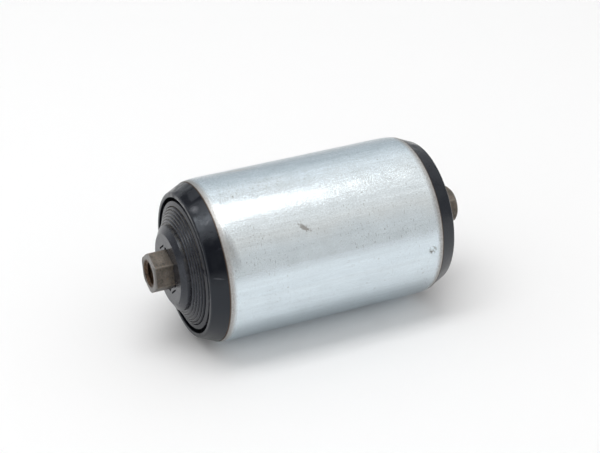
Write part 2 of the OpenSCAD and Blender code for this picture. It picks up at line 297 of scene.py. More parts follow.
def stroke(material, place, start, end, width, ragged=2, soft=0.6):
    """How much of a mark covers a place: a long patch from one point to another, width mm
    across. Ragged tears its edge, and soft fades it.
    """
    middle, way = (start + end) / 2, end - start
    half = (way.length / 2, width * MM / 2, width * MM / 2)
    lean = way.to_track_quat("X", "Z").to_euler()
    within = add(material, "Mapping", {"Vector": place, "Location": middle, "Rotation": lean,
        "Scale": half}, vector_type="TEXTURE")
    reach = add(material, "VectorMath", {0: within}, out="Value", operation="LENGTH")
    torn = add(material, "TexNoise", {"Vector": place, "Scale": per_mm(TORN_EDGE), "Detail": 3})
    reach = add(material, "Math", {0: torn, 1: ragged, 2: reach}, operation="MULTIPLY_ADD")
    limit = 1.05 + ragged / 2  # noise is about a half, so this leaves the patch its size
    return add(material, "MapRange", {"Value": reach, "From Min": limit, "From Max": limit - soft})


def specks(material, place, spacing, size, share):
    """Round specks in about that share of the cells, which are spacing mm wide."""
    cells = add(material, "TexVoronoi", {"Vector": place, "Scale": per_mm(spacing)}, out=None)
    chance = add(material, "SeparateXYZ", {0: cells["Color"]}, out="X")
    chosen = add(material, "Math", {0: chance, 1: 1 - share}, operation="GREATER_THAN")
    edge = size / spacing / 2
    spot = add(material, "MapRange", {"Value": cells["Distance"], "From Min": edge,
        "From Max": edge * 0.4})
    return add(material, "Math", {0: spot, 1: chosen}, operation="MULTIPLY")


def lay_over(material, colour, mark, tone, strength=1):
    """Lays the tone of a mark over a colour, as far as the mark and its strength go."""
    share = add(material, "Math", {0: mark, 1: strength}, operation="MULTIPLY")
    return add(material, "Mix", {0: share, 6: colour, 7: tone}, out=2, data_type="RGBA")


print(f"the top of the tube is {on_roller(0, 90).z / MM:.0f} mm above the axis")

# %% [markdown]
# ## Zinc plated steel
#
# The tube is cold drawn steel with a bright zinc plating under a clear blue passivation. Metal
# has no colour of its own under the shine, so the base colour is what it reflects: a pale blue
# white that drifts to straw, as the bath left it. The drift goes round the tube in bands, so it
# comes from a radial gradient whose edges a large noise makes wavy. A plain noise would have
# given clouds instead. Each stop of its ramp is a place round the tube and a share of straw.

# %% Tint of the bath
PALE_BLUE, STRAW = linear("#d5e3ec"), linear("#dbdddb")
ROUND_BANDS = [(0.02, 0.3), (0.1, 0.3), (0.26, 0.2), (0.33, 0.1), (0.41, 0.85), (0.47, 0.8),
    (0.53, 0.25), (0.61, 0.15), (0.67, 0.9), (0.7, 0.2), (0.8, 0.2), (0.86, 0.55),
    (0.93, 0.55), (0.96, 0.25)]
BAND_WAVER = 0.07

zinc = new_material("zinc_plated_steel")
place = add(zinc, "TexCoord", out="Object")
axes = add(zinc, "SeparateXYZ", {0: place}, out=None)
round_tube = add(zinc, "CombineXYZ", {0: axes["Y"], 1: axes["Z"]})
turn = add(zinc, "TexGradient", {0: round_tube}, out="Fac", gradient_type="RADIAL")
drift = add(zinc, "TexNoise", {"Vector": place, "Scale": per_mm(16), "Detail": 4})
turn = add(zinc, "Math", {0: drift, 1: BAND_WAVER, 2: turn}, operation="MULTIPLY_ADD")
straw_share = add(zinc, "ValToRGB", {0: turn}, stops=ROUND_BANDS)
tint = lay_over(zinc, PALE_BLUE, straw_share, STRAW)
print(f"{len(ROUND_BANDS)} stops round the tube")

# %% [markdown]
# ### Drawing marks, clouds and grain
#
# The tube was drawn through a die, which leaves fine marks lengthwise, so that noise is
# squeezed along the axis. Over them lie a faint cloudiness and the grain of the zinc crystals.
# The grain shows more on the side that is up at rest. All three only darken or lighten the tint,
# mostly by a few hundredths. The real grain is finer than this, and it is drawn as coarse as it
# needs to be to show.

# %% Shades of the plating
GRAIN = 0.3
MARK_WIDE, SQUEEZE = 1.1, 0.035

lengthwise = add(zinc, "Mapping", {"Vector": place, "Scale": (SQUEEZE, 1, 1)})
drawn = add(zinc, "TexNoise", {"Vector": lengthwise, "Scale": per_mm(MARK_WIDE), "Detail": 6,
    "Roughness": 0.6})
streak = add(zinc, "MapRange", {"Value": drawn, "From Min": 0.3, "From Max": 0.7,
    "To Min": 0.94, "To Max": 1.04})
cloud = add(zinc, "TexNoise", {"Vector": place, "Scale": per_mm(5), "Detail": 5})
patch = add(zinc, "MapRange", {"Value": cloud, "From Min": 0.3, "From Max": 0.7,
    "To Min": 0.96, "To Max": 1.03})
grain = add(zinc, "TexNoise", {"Vector": place, "Scale": per_mm(GRAIN), "Detail": 1})
above = {"Value": axes["Z"], "From Min": 13 * MM, "From Max": 20 * MM}
darkest = add(zinc, "MapRange", {**above, "To Min": 0.94, "To Max": 0.88})
palest = add(zinc, "MapRange", {**above, "To Min": 1.04, "To Max": 1.12})
spangle = add(zinc, "MapRange", {"Value": grain, "From Min": 0.3, "From Max": 0.7,
    "To Min": darkest, "To Max": palest})
shade = add(zinc, "Math", {0: streak, 1: patch}, operation="MULTIPLY")
shade = add(zinc, "Math", {0: shade, 1: spangle}, operation="MULTIPLY")
colour = add(zinc, "VectorMath", {0: tint, 3: shade}, operation="SCALE")
print(f"grain {GRAIN} mm, drawing marks {MARK_WIDE} mm wide, {MARK_WIDE / SQUEEZE:.0f} mm long")

# %% [markdown]
# ### Fine dirt
#
# Grit from the conveyor has stuck to the plating: fine dots, short ticks across the tube where
# loads slid over it, and a few coarser spots. Each could be a small mesh, but there are
# thousands and they have no thickness, so they are specks of a grimy colour. They lie thicker
# where the same large noise as in the tint is high.

# %% Dirt
GRIME = linear("#7d7a70")

dots = specks(zinc, place, spacing=0.8, size=0.5, share=0.5)
across = add(zinc, "Mapping", {"Vector": place, "Scale": (1, 0.3, 0.3)})
ticks = specks(zinc, across, spacing=0.8, size=0.42, share=0.3)
spots = specks(zinc, place, spacing=3.2, size=0.7, share=0.4)
dense = add(zinc, "MapRange", {"Value": drift, "From Min": 0.4, "From Max": 0.6,
    "To Min": 0.12, "To Max": 0.32})
dirt = add(zinc, "Math", {0: ticks, 1: dots}, operation="ADD")
dirt = add(zinc, "Math", {0: dirt, 1: dense}, operation="MULTIPLY")
dirt = add(zinc, "Math", {0: spots, 1: 0.42, 2: dirt}, operation="MULTIPLY_ADD",
    use_clamp=True)
colour = lay_over(zinc, colour, dirt, GRIME)
print(f"{len(zinc.node_tree.nodes)} nodes in the zinc so far")

# %% [markdown]
# ### A smear, a scuff and a stain
#
# A brown smear lies behind, near the left end. Something hard has scuffed the middle of the
# tube, and a drop has dried near the right end as a round stain with a darker rim. The first
# two are strokes. The stain is the distance from its middle, made uneven by noise and cut into
# a ring and a paler inside.

# %% Marks on the tube
STAIN_AT = on_roller(30.9, 3.2)

smear = stroke(zinc, place, on_roller(-25, 110), on_roller(-13, 105), width=3.5, ragged=1.2,
    soft=0.9)
colour = lay_over(zinc, colour, smear, linear("#b5aba2"), strength=0.4)
scuff = stroke(zinc, place, on_roller(-11, 43), on_roller(-7.3, 35.9), width=1.6)
colour = lay_over(zinc, colour, scuff, linear("#918f8b"), strength=0.85)

reach = add(zinc, "VectorMath", {0: place, 1: STAIN_AT}, out="Value", operation="DISTANCE")
uneven = add(zinc, "TexNoise", {"Vector": place, "Scale": per_mm(0.75), "Detail": 4})
reach = add(zinc, "Math", {0: uneven, 1: 2.6 * MM, 2: reach}, operation="MULTIPLY_ADD")
stain = add(zinc, "MapRange", {"Value": reach, "From Min": 2.9 * MM, "From Max": 2.5 * MM})
lighter = add(zinc, "MapRange", {"Value": reach, "From Min": 2.3 * MM,
    "From Max": 1.9 * MM, "To Min": 1, "To Max": 0.5})
blotchy = add(zinc, "MapRange", {"Value": uneven, "From Min": 0.44, "From Max": 0.58,
    "To Max": 0.9})
stain = add(zinc, "Math", {0: stain, 1: lighter}, operation="MULTIPLY")
stain = add(zinc, "Math", {0: stain, 1: blotchy}, operation="MULTIPLY")
colour = lay_over(zinc, colour, stain, linear("#6f6d66"))
print(f"stain {STAIN_AT.x / MM:.1f} mm along the roller")

# %% [markdown]
# ### The rolled ends
#
# A tool rolled each end of the tube in over its housing, and rubbed the plating there dull and
# frosted, more so towards the edge. The cut itself shows brown steel. A second material on the
# end faces could do this, but it would stop at a hard line. Here the distance along the axis
# fades one look into the other. Near the left end a soft grey patch is a painted reflection of
# the dark card where the camera stands.

# %% Rolled ends
ROLLED_FROM, ROLLED_FULL = 2.1, 0.3
CUT_FROM, CUT_FULL = 0.5, 0.2

along = add(zinc, "Math", {0: axes["X"]}, operation="ABSOLUTE")
border = add(zinc, "Math", {0: uneven, 1: 0.9 * MM, 2: along}, operation="MULTIPLY_ADD")
rolled = add(zinc, "MapRange", {"Value": border, "From Min": tube_end - ROLLED_FROM * MM,
    "From Max": tube_end - ROLLED_FULL * MM}, interpolation_type="SMOOTHSTEP")
frost = add(zinc, "TexNoise", {"Vector": place, "Scale": per_mm(GRAIN), "Detail": 3})
frosted = add(zinc, "ValToRGB", {0: frost}, stops=[(0.35, linear("#9a9997")),
    (0.65, linear("#c4c3c1"))])
colour = lay_over(zinc, colour, rolled, frosted)
cut = add(zinc, "MapRange", {"Value": along, "From Min": tube_end - CUT_FROM * MM,
    "From Max": tube_end - CUT_FULL * MM})
colour = lay_over(zinc, colour, cut, linear("#5a4d44"))
# painted reflection: a soft grey patch near the left end, where the dark card by the camera is
# mirrored
painted_dark_reflection = stroke(zinc, place, on_roller(-33.6, 52), on_roller(-31.6, 20), width=4.5, ragged=0.5,
    soft=0.9)
colour = lay_over(zinc, colour, painted_dark_reflection, linear("#939595"), strength=0.9)
print(f"rolled dull over the last {ROLLED_FROM} mm")

# %% [markdown]
# ### The shine of the zinc
#
# Bright zinc is a soft mirror. Its grain frosts the edges of the bright band, which a fine bump
# shows, stronger on the side that is up at rest. The side that is down is more worn, so it is a
# little duller, and the rolled ends are duller still. Displacement would need millions of faces
# for the same effect. A tint just under white keeps the edges of the tube from glaring.

# %% Shine of the zinc
coarse = add(zinc, "MapRange", {"Value": axes["Z"], "From Min": 8 * MM, "From Max": 20 * MM,
    "To Min": 0.2, "To Max": 1})
bump = add(zinc, "Bump", {"Height": grain, "Strength": coarse, "Distance": 0.05 * MM})
gloss = add(zinc, "MapRange", {"Value": cloud, "From Min": 0.3, "From Max": 0.7,
    "To Min": 0.14, "To Max": 0.21})
worn = add(zinc, "MapRange", {"Value": axes["Z"], "From Min": 8 * MM, "From Max": 16 * MM,
    "To Min": 0.05, "To Max": 0})
gloss = add(zinc, "Math", {0: gloss, 1: worn}, operation="ADD")
gloss = add(zinc, "Math", {0: rolled, 1: 0.35, 2: gloss}, operation="MULTIPLY_ADD")
shader = add(zinc, "BsdfPrincipled", {"Base Color": colour, "Metallic": 1,
    "Roughness": gloss, "Normal": bump, "Specular Tint": linear("#e5e5e5")})
add(zinc, "OutputMaterial", {"Surface": shader}, out=None)
print(f"zinc plated steel: {len(zinc.node_tree.nodes)} nodes")

# %% [markdown]
# ## Bare drawn steel
#
# The shaft is plain drawn hexagon bar, cut off and tapped. It has no plating, so it has gone
# brown grey with a bloom of rust, half rough and half shiny. Blotches of a few millimetres set
# the main colour, and a finer grit brings out rust where it is high and dark pits where it is
# low. One noise does for both, so that they never fall on the same spot. Handling has rubbed
# the corners bright, which is where the distance from the axis is greatest.

# %% Colour of the bar
CORNER_FROM, CORNER_TO = 6.14, 6.3

bar = new_material("bare_steel")
place = add(bar, "TexCoord", out="Object")
axes = add(bar, "SeparateXYZ", {0: place}, out=None)
across = add(bar, "CombineXYZ", {0: axes["Y"], 1: axes["Z"]})
radius = add(bar, "VectorMath", {0: across}, out="Value", operation="LENGTH")

blotch = add(bar, "TexNoise", {"Vector": place, "Scale": per_mm(2.6), "Detail": 6,
    "Roughness": 0.65})
colour = add(bar, "ValToRGB", {0: blotch}, stops=[(0.32, linear("#514d48")),
    (0.5, linear("#625d57")), (0.68, linear("#756f67"))])
grit = add(bar, "TexNoise", {"Vector": place, "Scale": per_mm(0.6), "Detail": 4,
    "Roughness": 0.6})
rust = add(bar, "MapRange", {"Value": grit, "From Min": 0.54, "From Max": 0.66})
colour = lay_over(bar, colour, rust, linear("#85705e"), strength=0.45)
pits = add(bar, "MapRange", {"Value": grit, "From Min": 0.44, "From Max": 0.32})
colour = lay_over(bar, colour, pits, linear("#2f2b28"), strength=0.6)
corner = add(bar, "MapRange", {"Value": radius, "From Min": CORNER_FROM * MM,
    "From Max": CORNER_TO * MM})
corner = add(bar, "Math", {0: corner, 1: blotch}, operation="MULTIPLY")
colour = lay_over(bar, colour, corner, linear("#a59b90"), strength=0.8)
print(f"corners rubbed bright beyond {CORNER_FROM} mm from the axis")

# %% [markdown]
# ### The machined ends
#
# The end face was cut with a tool, so it is cooler and brighter than the bar. Towards the back
# and below it is darker, and that darkening is painted shade. Rust is thickest round the mouth
# of the tapped hole. The face could have its own material slot, but the distances along and
# from the axis find it just as well, and they let it fade into the bar.

# %% Ends of the bar
HOLE_RIM = 4.3
FACE_DEPTH = 0.6
shaft_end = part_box("shaft")[1].x

along = add(bar, "Math", {0: axes["X"]}, operation="ABSOLUTE")
face_from = shaft_end - FACE_DEPTH * MM
face = add(bar, "MapRange", {"Value": along, "From Min": face_from,
    "From Max": face_from + 0.2 * MM, "To Max": 0.75})
# painted shade: the machined end face darkens towards the back and below
shade_back_below = add(bar, "Math", {0: axes["Z"], 1: -0.3, 2: axes["Y"]}, operation="MULTIPLY_ADD")
shade_back_below = add(bar, "MapRange", {"Value": shade_back_below, "From Min": 3 * MM, "From Max": 4.6 * MM})
machined_and_shaded = lay_over(bar, linear("#888786"), shade_back_below, linear("#4c4641"))
colour = lay_over(bar, colour, face, machined_and_shaded)
hole = add(bar, "MapRange", {"Value": radius, "From Min": (HOLE_RIM + 0.35) * MM,
    "From Max": (HOLE_RIM - 0.25) * MM})
hole_rust = add(bar, "ValToRGB", {0: grit}, stops=[(0.35, linear("#2b2420")),
    (0.65, linear("#665241"))])
colour = lay_over(bar, colour, hole, hole_rust)
print(f"end faces {shaft_end / MM:.1f} mm from the middle")

# %% [markdown]
# ### The shine of the bar
#
# A tool leaves fine rings on the face that it cuts. They are a sine of the distance from the
# axis, in a bump, with the grit under them. Real rings are about 0.1 mm apart, and they are
# drawn wider so that they show. The rust keeps the bar from being wholly metallic.

# %% Shine of the bar
RING_SPACING = 0.28

rings = add(bar, "Math", {0: radius, 1: 2 * math.pi * per_mm(RING_SPACING)},
    operation="MULTIPLY")
rings = add(bar, "Math", {0: rings}, operation="SINE")
turned = add(bar, "Math", {0: rings, 1: face}, operation="MULTIPLY")
relief = add(bar, "Math", {0: turned, 1: 0.5, 2: grit}, operation="MULTIPLY_ADD")
bump = add(bar, "Bump", {"Height": relief, "Strength": 0.5, "Distance": 0.05 * MM})
gloss = add(bar, "MapRange", {"Value": blotch, "From Min": 0.3, "From Max": 0.7,
    "To Min": 0.38, "To Max": 0.55})
shader = add(bar, "BsdfPrincipled", {"Base Color": colour, "Metallic": 0.85,
    "Roughness": gloss, "Normal": bump})
add(bar, "OutputMaterial", {"Surface": shader}, out=None)
print(f"bare steel: {len(bar.node_tree.nodes)} nodes")

# %% [markdown]
# ## Black polyamide
#
# The housings are nylon from a polished mould: a thin, slightly uneven shine over a nearly
# black body, so almost all that is seen of it is reflections. Colour can't do much there, so
# the smudges that grease and handling leave on the upper side are mostly patches of other
# roughness. The left housing also has a short pale streak low down, and two pale patches higher
# up that are painted highlight: the softbox's reflection, spread by a dried film.

# %% Smudges and marks on the housings
FILM_HIGHLIGHTS = [(on_roller(-39.4, 72.5, 22.5), on_roller(-37, 76, 23.4), 3.2),
    (on_roller(-37.4, 57.5, 23.1), on_roller(-35.7, 61, 23.9), 0.9)]

nylon = new_material("black_polyamide")
place = add(nylon, "TexCoord", out="Object")
height = add(nylon, "SeparateXYZ", {0: place}, out="Z")
upper = add(nylon, "MapRange", {"Value": height, "From Min": 14 * MM, "From Max": 19 * MM})
smudge = add(nylon, "TexNoise", {"Vector": place, "Scale": per_mm(4.5), "Detail": 2,
    "Distortion": 0.4})
film = add(nylon, "TexNoise", {"Vector": place, "Scale": per_mm(1.2), "Detail": 5})
grease = add(nylon, "MapRange", {"Value": smudge, "From Min": 0.42, "From Max": 0.7})
grease = add(nylon, "Math", {0: grease, 1: upper}, operation="MULTIPLY")
grease = add(nylon, "Math", {0: grease, 1: film}, operation="MULTIPLY")
colour = lay_over(nylon, linear("#111319"), grease, linear("#2c2d32"))
# a short pale streak, low on the left housing
pale_streak = stroke(nylon, place, on_roller(-39.4, 18.9, 22.5), on_roller(-35.6, 17.2, 24.1),
    width=0.6, ragged=1.2, soft=1)
colour = lay_over(nylon, colour, pale_streak, linear("#6b6d71"), strength=0.4)
# painted highlight: two pale patches where the softbox is mirrored through a dried film
for start, end, width in FILM_HIGHLIGHTS:
    film_highlight = stroke(nylon, place, start, end, width, ragged=0.8, soft=1.1)
    colour = lay_over(nylon, colour, film_highlight, linear("#646569"), strength=0.85)
print(f"a nick and {len(FILM_HIGHLIGHTS)} dried films on the left housing")

# %% [markdown]
# ### The shine of the housings
#
# Moulded nylon sinks a little as it cools, so its skin has broad shallow waves, and reflections
# bend in them. Fine scratches run round the cone. Both are too shallow for a mesh and go into
# one bump. The reflections are tinted a cold white, as they look on this black. The scratches
# are drawn coarser than they are.

# %% Shine of the housings
COLD = linear("#ecf5ff")
WAVE_HEIGHT = 12

squeezed = add(nylon, "Mapping", {"Vector": place, "Scale": (1, 0.25, 0.25)})
scratch = add(nylon, "TexNoise", {"Vector": squeezed, "Scale": per_mm(0.35), "Detail": 2})
waves = add(nylon, "TexNoise", {"Vector": place, "Scale": per_mm(3.6), "Detail": 1})
waves = add(nylon, "Math", {0: waves, 1: upper}, operation="MULTIPLY")
relief = add(nylon, "Math", {0: waves, 1: WAVE_HEIGHT, 2: scratch}, operation="MULTIPLY_ADD")
bump = add(nylon, "Bump", {"Height": relief, "Strength": 0.3, "Distance": 0.05 * MM})
gloss = add(nylon, "MapRange", {"Value": smudge, "From Min": 0.35, "From Max": 0.65,
    "To Min": 0.18, "To Max": 0.27})
gloss = add(nylon, "Math", {0: grease, 1: 0.5, 2: gloss}, operation="MULTIPLY_ADD")
shader = add(nylon, "BsdfPrincipled", {"Base Color": colour, "Roughness": gloss,
    "IOR": 1.47, "Normal": bump, "Specular Tint": COLD})
add(nylon, "OutputMaterial", {"Surface": shader}, out=None)
print(f"black polyamide: {len(nylon.node_tree.nodes)} nodes")

# %% [markdown]
# ## Grey polypropylene
#
# The covers are a softer, duller plastic than the housings. What the eye notices is their
# ridges, with dust in the grooves. The ridges are in the solid. To find the grooves between
# them, the material takes the cosine of the distance from the axis, with the pitch of the
# ridges, and keeps it from the foot of the hub to the first groove. One more groove runs round
# the foot of the hub. Ambient occlusion could find them too, but it is slow and can't tell
# which way is up.

# %% Grooves of the cover
RIDGE_PITCH = 0.88
FIRST_GROOVE = 18.05
HUB_GROOVE = 13.25

cover = new_material("grey_polypropylene")
place = add(cover, "TexCoord", out="Object")
axes = add(cover, "SeparateXYZ", {0: place}, out=None)
across = add(cover, "CombineXYZ", {0: axes["Y"], 1: axes["Z"]})
radius = add(cover, "VectorMath", {0: across}, out="Value", operation="LENGTH")
phase = add(cover, "Math", {0: radius, 1: FIRST_GROOVE * MM}, operation="SUBTRACT")
phase = add(cover, "Math", {0: phase, 1: 2 * math.pi * per_mm(RIDGE_PITCH)},
    operation="MULTIPLY")
groove = add(cover, "Math", {0: phase}, operation="COSINE")
groove = add(cover, "MapRange", {"Value": groove, "From Min": 0, "From Max": 0.8})
ridged = add(cover, "Math", {0: radius, 1: (HUB_GROOVE + 0.2) * MM}, operation="GREATER_THAN")
inside = add(cover, "Math", {0: radius, 1: (FIRST_GROOVE + 0.2) * MM}, operation="LESS_THAN")
groove = add(cover, "Math", {0: groove, 1: ridged}, operation="MULTIPLY")
groove = add(cover, "Math", {0: groove, 1: inside}, operation="MULTIPLY")
foot = add(cover, "Math", {0: radius, 1: HUB_GROOVE * MM}, operation="SUBTRACT")
foot = add(cover, "Math", {0: foot}, operation="ABSOLUTE")
foot = add(cover, "MapRange", {"Value": foot, "From Min": 0.3 * MM, "From Max": 0.1 * MM,
    "To Max": 1.1})
hollow = add(cover, "Math", {0: groove, 1: foot}, operation="MAXIMUM")
print(f"a groove every {RIDGE_PITCH} mm, from {FIRST_GROOVE} mm inwards")

# %% [markdown]
# ### Dust
#
# Dust settles from above and stays in the hollows, so its share is the groove, times the
# height, times a grainy noise that breaks it up. The plastic under it is dark grey with a
# slight cloudiness, darker in the grooves, where less light comes.

# %% Colour of the cover
settled = add(cover, "MapRange", {"Value": axes["Z"], "From Min": -2 * MM,
    "From Max": 13 * MM})
grains = add(cover, "TexNoise", {"Vector": place, "Scale": per_mm(0.9), "Detail": 5,
    "Roughness": 0.7})
grains = add(cover, "MapRange", {"Value": grains, "From Min": 0.42, "From Max": 0.68,
    "To Max": 0.8})
dust = add(cover, "Math", {0: hollow, 1: settled}, operation="MULTIPLY")
dust = add(cover, "Math", {0: dust, 1: grains}, operation="MULTIPLY", use_clamp=True)
body = add(cover, "TexNoise", {"Vector": place, "Scale": per_mm(3), "Detail": 4})
colour = add(cover, "ValToRGB", {0: body}, stops=[(0.35, linear("#1b1c21")),
    (0.65, linear("#24252b"))])
colour = lay_over(cover, colour, groove, linear("#101116"), strength=0.7)
colour = lay_over(cover, colour, dust, linear("#655e50"))
print("dust from just below the axis upwards")

# %% [markdown]
# ### The shine of the cover
#
# The cover is satin, with the fine skin of an unpolished mould. Handling has left the rim and
# the sides of the grooves less shiny than the hub, so the strength of the reflection falls from
# the hub to the rim, and falls again in the grooves. Dust is rough, and dulls it further. The
# skin is drawn coarser than it is.

# %% Shine of the cover
rim = add(cover, "MapRange", {"Value": radius, "From Min": (HUB_GROOVE + 3) * MM,
    "From Max": (FIRST_GROOVE + 0.6) * MM, "To Min": 0.5, "To Max": 0.28})
shine = add(cover, "Math", {0: groove, 1: -0.4, 2: rim}, operation="MULTIPLY_ADD")
gloss = add(cover, "MapRange", {"Value": body, "From Min": 0.3, "From Max": 0.7,
    "To Min": 0.2, "To Max": 0.29})
gloss = add(cover, "Math", {0: dust, 1: 0.3, 2: gloss}, operation="MULTIPLY_ADD")
skin = add(cover, "TexNoise", {"Vector": place, "Scale": per_mm(0.5), "Detail": 1})
bump = add(cover, "Bump", {"Height": skin, "Strength": 0.1, "Distance": 0.01 * MM})
shader = add(cover, "BsdfPrincipled", {"Base Color": colour, "Roughness": gloss,
    "IOR": 1.49, "Specular IOR Level": shine, "Normal": bump, "Specular Tint": COLD})
add(cover, "OutputMaterial", {"Surface": shader}, out=None)
print(f"grey polypropylene: {len(cover.node_tree.nodes)} nodes")

# %% [markdown]
# ## Bearing steel
#
# Nobody sees the inside of a bearing while the roller is whole, but each piece is named and can
# be shown alone, so each gets its own plain finish. Rings and balls are ground and polished:
# bright, with faint lines round the axis from the grinding. Those lines are a noise squeezed
# round the axis, drawn coarser than they are, that moves both the roughness and a bump.

# %% Bearing steel
ground = new_material("bearing_steel")
place = add(ground, "TexCoord", out="Object")
squeezed = add(ground, "Mapping", {"Vector": place, "Scale": (1, 0.02, 0.02)})
lines = add(ground, "TexNoise", {"Vector": squeezed, "Scale": per_mm(0.25), "Detail": 2})
gloss = add(ground, "MapRange", {"Value": lines, "To Min": 0.1, "To Max": 0.24})
bump = add(ground, "Bump", {"Height": lines, "Strength": 0.15, "Distance": 0.02 * MM})
shader = add(ground, "BsdfPrincipled", {"Base Color": linear("#c9cacc"), "Metallic": 1,
    "Roughness": gloss, "Normal": bump})
add(ground, "OutputMaterial", {"Surface": shader}, out=None)
print(f"bearing steel: {len(ground.node_tree.nodes)} nodes")

# %% [markdown]
# ## Natural nylon for the cages
#
# The cage that spaces the balls is nylon without a dye: a warm cream that lets a little light
# in under its satin skin. A flat cream would look like paint, so a little of the light goes
# under the surface before it comes out.

# %% Cage polyamide
cage = new_material("cage_polyamide")
place = add(cage, "TexCoord", out="Object")
cloud = add(cage, "TexNoise", {"Vector": place, "Scale": per_mm(2), "Detail": 3})
colour = add(cage, "ValToRGB", {0: cloud}, stops=[(0.3, linear("#b9a888")),
    (0.7, linear("#c9bb9c"))])
shader = add(cage, "BsdfPrincipled", {"Base Color": colour, "Roughness": 0.42, "IOR": 1.53,
    "Subsurface Weight": 0.15, "Subsurface Radius": (2 * MM, 1.5 * MM, 1 * MM)})
add(cage, "OutputMaterial", {"Surface": shader}, out=None)
print(f"cage polyamide: {len(cage.node_tree.nodes)} nodes")

# %% [markdown]
# ## Rubber for the lip seals
#
# The lip seals are moulded nitrile rubber: matt and black, with a faint bloom where wax has
# come to the surface. The bloom is a slow noise between two blacks. A bump would make it look
# rough to the touch, which it isn't.

# %% Seal rubber
rubber = new_material("seal_rubber")
place = add(rubber, "TexCoord", out="Object")
bloom = add(rubber, "TexNoise", {"Vector": place, "Scale": per_mm(1.5), "Detail": 4})
colour = add(rubber, "ValToRGB", {0: bloom}, stops=[(0.35, linear("#161617")),
    (0.7, linear("#232324"))])
shader = add(rubber, "BsdfPrincipled", {"Base Color": colour, "Roughness": 0.65, "IOR": 1.52})
add(rubber, "OutputMaterial", {"Surface": shader}, out=None)
print(f"seal rubber: {len(rubber.node_tree.nodes)} nodes")

# %% [markdown]
# ## Spring steel for the retaining rings
#
# Retaining rings are stamped from spring steel and given a phosphate coat: dark grey, finely
# speckled and only half shiny. Its crystals are far too small to see one by one, so they are
# drawn coarse enough for the speckle to show.

# %% Spring steel
spring = new_material("spring_steel")
place = add(spring, "TexCoord", out="Object")
crystals = add(spring, "TexNoise", {"Vector": place, "Scale": per_mm(0.3), "Detail": 3})
colour = add(spring, "ValToRGB", {0: crystals}, stops=[(0.3, linear("#3b3b3e")),
    (0.7, linear("#565659"))])
shader = add(spring, "BsdfPrincipled", {"Base Color": colour, "Metallic": 0.8,
    "Roughness": 0.42})
add(spring, "OutputMaterial", {"Surface": shader}, out=None)
print(f"spring steel: {len(spring.node_tree.nodes)} nodes")

# %% [markdown]
# ## A material for every solid
#
# The record of the part says which material each solid is made of, so the script asks it
# instead of listing the solids again. If the part gains a piece, that piece is dressed too.

# %% Give every solid its material
finishes = {
    "zinc_plated_steel": zinc,
    "bare_steel": bar,
    "black_polyamide": nylon,
    "grey_polypropylene": cover,
    "bearing_steel": ground,
    "cage_polyamide": cage,
    "seal_rubber": rubber,
    "spring_steel": spring,
}
for part in frame["record"]["subparts"]:
    for material_slot in nodes[part["node"]].material_slots:
        material_slot.material = finishes[part["material_slot"]]
print(f"{len(finishes)} materials on {len(nodes)} solids")

# %% [markdown]
# ## Remaking a piece
#
# A piece made here takes the place of a solid, so it has that solid's form with its finer
# surface. It is modelled where it belongs, about the axis of the roller, and its object stays
# at the origin. One function closes the seams, turns the surface outwards, shades it smooth
# with hard edges kept, and says with which body it moves.

# %% Piece and section helpers
SEAM = 0.002


def make_piece(name, bm, body, slot, solid, sharp=32):
    """Turns a bmesh into a piece of a body, in place of a solid if one is named."""
    bmesh.ops.remove_doubles(bm, verts=bm.verts, dist=SEAM * MM)
    bmesh.ops.recalc_face_normals(bm, faces=bm.faces)
    for face in bm.faces:
        face.smooth = True
    for edge in bm.edges:
        edge.smooth = edge.calc_face_angle(math.pi) < math.radians(sharp)
    open_edges = sum(not edge.is_manifold for edge in bm.edges)
    mesh = bpy.data.meshes.new(name)
    bm.to_mesh(mesh)
    bm.free()
    mesh.materials.append(finishes[slot])
    made = bpy.data.objects.new(name, mesh)
    bpy.context.scene.collection.objects.link(made)
    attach(made, body)
    if solid:
        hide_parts(solid)
    print(f"{name}: {len(mesh.polygons)} faces, {open_edges} open edges")


def section(bm, points):
    """A chain of edges through points of (mm along, mm out) above the axis."""
    verts = [bm.verts.new((along * MM, 0, out * MM)) for along, out in points]
    return verts + [bm.edges.new(pair) for pair in zip(verts, verts[1:])]


def turn_round(bm, geom, steps):
    """Spins a section once round the axis of the roller."""
    bmesh.ops.spin(bm, geom=geom, axis=(1, 0, 0), cent=(0, 0, 0), dvec=(0, 0, 0),
        angle=math.tau, steps=steps, use_merge=True)


def distance_out(vert):
    """How far a vertex is from the axis."""
    return math.hypot(vert.co.y, vert.co.z)


def move_out(vert, radius):
    """Moves a vertex straight out from the axis or in to it, to a radius."""
    scale = radius / distance_out(vert)
    vert.co.y *= scale
    vert.co.z *= scale


print(f"points nearer than {SEAM} mm are joined")

# %% [markdown]
# ## The tube
#
# The real tube is drawn, cut and slipped over its housings, and then a tool rolls each end in
# by half a millimetre to lock them. Three things could make it: a cylinder whose ends are
# pushed in, a long extrusion, or a section that is spun. A section is the surest, because the
# curve of the rolled end and the thickness of the wall can both be drawn. Half of it is drawn
# here, with its outer corner rounded.

# %% Section of the tube
WALL = 1.5
ROLL_LEN, ROLL_IN = 4.5, 0.55
ROLL_R = (ROLL_LEN**2 + ROLL_IN**2) / (2 * ROLL_IN)
ROLL_STEPS = 10
TUBE_EDGE = 0.2
RING_EVERY = 0.75
half_long, outer_r = tube_end / MM, tube_r / MM


def curve_in(radius):
    """The rolled end of a surface that starts at a radius."""
    angles = [math.asin(ROLL_LEN / ROLL_R) * i / ROLL_STEPS for i in range(ROLL_STEPS + 1)]
    return [(half_long - ROLL_LEN + ROLL_R * math.sin(a), radius - ROLL_R * (1 - math.cos(a)))
        for a in angles]


straight_rings = int((half_long - ROLL_LEN) / RING_EVERY)
outside = [(i * RING_EVERY, outer_r) for i in range(straight_rings)] + curve_in(outer_r)
within = [(along, out - WALL) for along, out in [(0, outer_r)] + curve_in(outer_r)]

